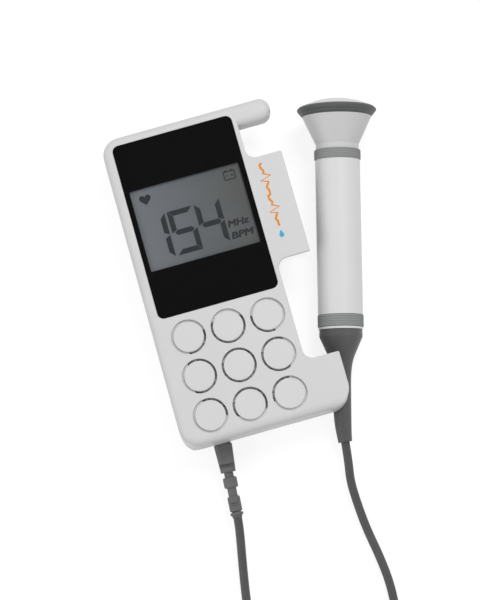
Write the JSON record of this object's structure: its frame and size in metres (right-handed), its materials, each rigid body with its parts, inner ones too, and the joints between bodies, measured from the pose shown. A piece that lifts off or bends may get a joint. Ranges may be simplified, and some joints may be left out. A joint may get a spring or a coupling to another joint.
{
  "type": "fetal doppler monitor",
  "caption": "Hand-held heart-sound monitor with a display, loudspeaker grille and side cradle, joined by a lead to a pencil-shaped ultrasound probe with a flared face.",
  "frame": {"origin": "middle of the unit's flat rear face, on the table the object lies on", "axes": "+X across the unit towards the probe cradle, +Y along the unit to its display end, +Z out of the display"},
  "size_m": [0.1208, 0.2686, 0.0348],
  "materials": {
    "casing_white": "satin moulded ABS",
    "casing_rear": "satin moulded ABS",
    "screw_steel": "zinc plated",
    "grille_white": "satin moulded ABS",
    "board_green": "solder mask",
    "component_black": "epoxy packages",
    "cell": "printed sleeve",
    "spring_steel": "nickel plated",
    "button_grey": "satin",
    "plunger": "moulded",
    "switch_black": "moulded",
    "relief_grey": "soft moulding",
    "mesh_black": "woven dust cloth",
    "gasket_foam": "closed-cell foam",
    "basket_steel": "pressed steel",
    "cone_paper": "coated paper",
    "magnet": "ferrite and plated yoke",
    "window": "polished clear acrylic",
    "mask_black": "black screen print",
    "lcd": "reflective liquid crystal cell",
    "frame_black": "moulded black",
    "zebra": "conductive silicone",
    "lead_grey": "matt cord jacket",
    "tie_black": "hook and loop tape",
    "boot_grey": "soft moulding",
    "probe_white": "satin moulded ABS",
    "collar_grey": "satin",
    "ring_grey": "satin",
    "face_white": "smooth acoustic face",
    "crystal": "silvered ceramic",
    "backing": "loaded epoxy",
    "foam": "foam"
  },
  "bodies": {
    "unit": {"front_housing": "casing_white", "rear_housing": "casing_rear", "front_cradle": "casing_white", "rear_cradle": "casing_rear", "face_guard": "casing_white", "housing_screws": "screw_steel", "grille_insert": "grille_white", "main_board": "board_green", "board_components": "component_black", "battery_cells": "cell", "battery_contacts": "spring_steel", "tact_switches": "switch_black", "switch_board": "board_green", "headphone_socket": "component_black", "lead_strain_relief": "relief_grey", "speaker_mesh": "mesh_black", "speaker_gasket": "gasket_foam", "speaker_basket": "basket_steel", "speaker_cone": "cone_paper", "speaker_magnet": "magnet", "display_window": "window", "window_mask": "mask_black", "lcd_panel": "lcd", "lcd_carrier": "frame_black", "zebra_strips": "zebra", "lead_from_unit": "lead_grey", "lead_to_probe": "lead_grey", "lead_coil": "lead_grey", "coil_tie": "tie_black"},
    "power": {"power_button": "button_grey", "power_plunger": "plunger"},
    "volume_up": {"volume_up_button": "button_grey", "volume_up_plunger": "plunger"},
    "volume_down": {"volume_down_button": "button_grey", "volume_down_plunger": "plunger"},
    "battery_cover": {"battery_door": "casing_rear"},
    "probe": {"probe_boot": "boot_grey", "probe_end_cap": "probe_white", "probe_barrel": "probe_white", "probe_rear_collar": "collar_grey", "probe_front_collar": "collar_grey", "probe_head": "probe_white", "probe_face_ring": "ring_grey", "probe_faceplate": "face_white", "crystals": "crystal", "crystal_backing": "backing", "probe_board": "board_green", "probe_board_rings": "foam", "probe_board_parts": "component_black"}
  },
  "joints": [
    {"name": "power_press", "type": "slide", "parent": "unit", "child": "power", "axis": [1, 0, 0], "range_m": [0, 0.0006], "stiffness_N_per_m": 1500, "springref_m": -0.0003},
    {"name": "volume_up_press", "type": "slide", "parent": "unit", "child": "volume_up", "axis": [1, 0, 0], "range_m": [0, 0.0006], "stiffness_N_per_m": 1500, "springref_m": -0.0003},
    {"name": "volume_down_press", "type": "slide", "parent": "unit", "child": "volume_down", "axis": [1, 0, 0], "range_m": [0, 0.0006], "stiffness_N_per_m": 1500, "springref_m": -0.0003},
    {"name": "battery_door_slide", "type": "slide", "parent": "unit", "child": "battery_cover", "axis": [0, 1, 0], "range_m": [0, 0.066]},
    {"name": "probe_lift", "type": "slide", "parent": "unit", "child": "probe", "axis": [0.9404, 0, 0.3401], "range_m": [0, 0.04]}
  ]
}
